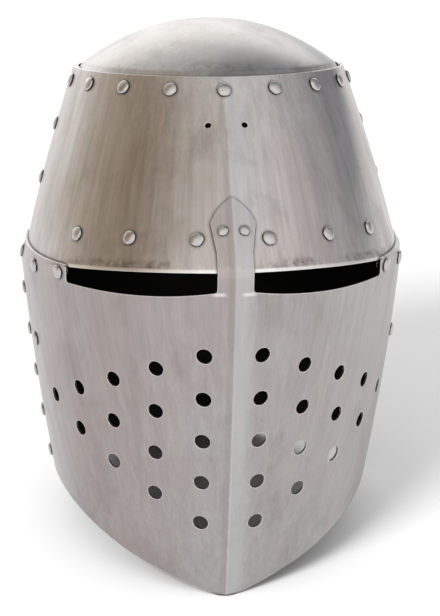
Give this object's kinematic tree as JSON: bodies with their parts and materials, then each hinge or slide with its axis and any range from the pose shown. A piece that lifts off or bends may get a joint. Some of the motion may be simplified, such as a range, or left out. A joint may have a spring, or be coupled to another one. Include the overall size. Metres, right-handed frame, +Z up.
{
  "type": "great helm",
  "caption": "Great helm of riveted steel plates with a domed crown, long sights, a strip over the nose, breaths, a leather liner and a buckled chin strap.",
  "frame": {"origin": "On the floor, below the middle of the whole helm's box, as the helm stands on the point of its face plate and the rim of its back plate.", "axes": "+Z is up, -Y is the way the face looks, +X is the wearer's left."},
  "size_m": [0.2464, 0.2844, 0.3261],
  "materials": {
    "helm_plate": "satin steel with an upright grain",
    "rivet_steel": "hammered and wiped steel",
    "liner_leather": "brown vegetable-tanned leather",
    "strap_leather": "dark brown strap leather",
    "buckle_steel": "filed steel"
  },
  "bodies": {
    "helm": {"upper_front_plate": "helm_plate", "upper_back_plate": "helm_plate", "face_plate": "helm_plate", "lower_back_plate": "helm_plate", "crown_plate": "helm_plate", "crown_rivets": "rivet_steel", "brow_liner_rivets": "rivet_steel", "nose_strip_rivets": "rivet_steel", "upper_seam_rivets_left": "rivet_steel", "upper_seam_rivets_right": "rivet_steel", "lower_seam_rivets_left": "rivet_steel", "lower_seam_rivets_right": "rivet_steel", "cheek_rivets_left": "rivet_steel", "cheek_rivets_right": "rivet_steel", "nape_rivets": "rivet_steel", "chin_rivet_left": "rivet_steel", "chin_rivet_right": "rivet_steel", "liner_band": "liner_leather", "crown_strap_over": "liner_leather", "crown_strap_under": "liner_leather", "crown_strap_rivet": "rivet_steel"},
    "buckle_strap": {"buckle_strap": "strap_leather", "strap_keeper": "strap_leather"},
    "buckle_frame": {"buckle_frame": "buckle_steel"},
    "prong": {"buckle_prong": "buckle_steel"},
    "billet_strap": {"billet_strap": "strap_leather"}
  },
  "joints": [
    {"name": "buckle_strap_swing", "type": "hinge", "parent": "helm", "child": "buckle_strap", "pos_m": [0.11165, -0.03036, 0.13495], "axis": [-0.97, 0.2265, 0.0883], "range_deg": [-10, 10]},
    {"name": "billet_strap_swing", "type": "hinge", "parent": "helm", "child": "billet_strap", "pos_m": [-0.11165, -0.03036, 0.13495], "axis": [0.97, 0.2265, 0.0883], "range_deg": [-10, 10]},
    {"name": "buckle_turn", "type": "hinge", "parent": "buckle_strap", "child": "buckle_frame", "pos_m": [0.09424, -0.0263, 0.07164], "axis": [0.2274, 0.9738, 0], "range_deg": [-15, 60]},
    {"name": "prong_turn", "type": "hinge", "parent": "buckle_frame", "child": "prong", "pos_m": [0.09424, -0.0263, 0.07164], "axis": [0.2274, 0.9738, 0], "range_deg": [0, 55]}
  ]
}
